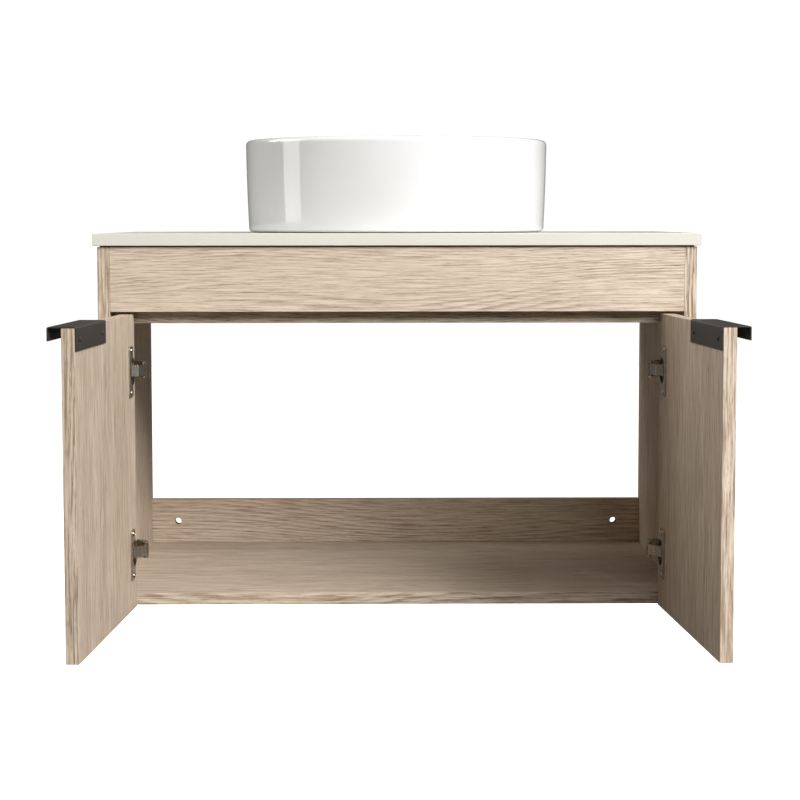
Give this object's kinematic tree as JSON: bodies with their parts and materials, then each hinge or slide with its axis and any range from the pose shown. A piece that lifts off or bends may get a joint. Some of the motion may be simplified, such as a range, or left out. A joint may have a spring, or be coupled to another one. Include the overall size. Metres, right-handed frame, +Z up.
{
  "type": "vessel sink on vanity",
  "caption": "Wall-hung vanity with two inset doors on cup hinges, folded black pulls, a slab top and a round vessel basin with a pop-up drain.",
  "frame": {"origin": "middle of the four wall-screw holes, on the wall plane", "axes": "+X to the right seen from the front, +Y into the wall, +Z up"},
  "size_m": [0.76, 0.7917, 0.5875],
  "materials": {
    "oak_board": "light oak foil on board, matte",
    "beech": "raw beech",
    "ivory_stone": "ivory cast top, satin",
    "white_ceramic": "white gloss glaze",
    "black_steel": "fine matte black powder coat",
    "nickel_steel": "nickel-plated, bright",
    "chrome": "polished",
    "black_rubber": "matte",
    "sealant": "cured sealant, matte"
  },
  "bodies": {
    "carcass": {"left_side_panel": "oak_board", "right_side_panel": "oak_board", "bottom_panel": "oak_board", "front_rail": "oak_board", "front_stretcher": "oak_board", "upper_back_rail": "oak_board", "lower_back_rail": "oak_board", "wood_dowels": "beech", "counter_seal": "sealant", "countertop": "ivory_stone", "basin": "white_ceramic", "basin_seal": "sealant", "drain_gasket": "black_rubber", "drain_body": "chrome", "drain_under_washer": "black_rubber", "drain_nut": "chrome", "left_upper_hinge_arm": "nickel_steel", "left_lower_hinge_arm": "nickel_steel", "right_upper_hinge_arm": "nickel_steel", "right_lower_hinge_arm": "nickel_steel", "left_upper_hinge_plate": "nickel_steel", "left_lower_hinge_plate": "nickel_steel", "right_upper_hinge_plate": "nickel_steel", "right_lower_hinge_plate": "nickel_steel", "hinge_plate_screws": "nickel_steel", "hinge_clamp_screws": "nickel_steel", "hinge_arm_pins": "nickel_steel"},
    "left_door": {"left_door": "oak_board", "left_handle": "black_steel", "left_handle_screws": "black_steel", "left_upper_hinge_cup": "nickel_steel", "left_lower_hinge_cup": "nickel_steel", "left_cup_screws": "nickel_steel"},
    "right_door": {"right_door": "oak_board", "right_handle": "black_steel", "right_handle_screws": "black_steel", "right_upper_hinge_cup": "nickel_steel", "right_lower_hinge_cup": "nickel_steel", "right_cup_screws": "nickel_steel"},
    "left_levers": {"left_upper_hinge_lever": "nickel_steel", "left_lower_hinge_lever": "nickel_steel", "left_lever_pins": "nickel_steel"},
    "right_levers": {"right_upper_hinge_lever": "nickel_steel", "right_lower_hinge_lever": "nickel_steel", "right_lever_pins": "nickel_steel"},
    "stopper": {"drain_stopper": "chrome", "stopper_seal": "black_rubber", "stopper_nut": "nickel_steel"}
  },
  "joints": [
    {"name": "left_door_hinge", "type": "hinge", "parent": "carcass", "child": "left_door", "pos_m": [-0.3405, -0.4525, 0], "axis": [0, 0, -1], "range_deg": [-93.6, 1.4]},
    {"name": "right_door_hinge", "type": "hinge", "parent": "carcass", "child": "right_door", "pos_m": [0.3405, -0.4525, 0], "axis": [0, 0, 1], "range_deg": [-93.6, 1.4]},
    {"name": "left_lever_pivot", "type": "hinge", "parent": "carcass", "child": "left_levers", "pos_m": [-0.317, -0.434, 0], "axis": [0, 0, -1], "range_deg": [-0.6, 39.5]},
    {"name": "right_lever_pivot", "type": "hinge", "parent": "carcass", "child": "right_levers", "pos_m": [0.317, -0.434, 0], "axis": [0, 0, 1], "range_deg": [-0.6, 39.5]},
    {"name": "stopper_lift", "type": "slide", "parent": "carcass", "child": "stopper", "axis": [0, 0, 1], "range_m": [0, 0.008]}
  ],
  "couplings": [
    {"joint": "left_lever_pivot", "follows": "left_door_hinge", "ratio": -0.42124},
    {"joint": "right_lever_pivot", "follows": "right_door_hinge", "ratio": -0.42124}
  ]
}
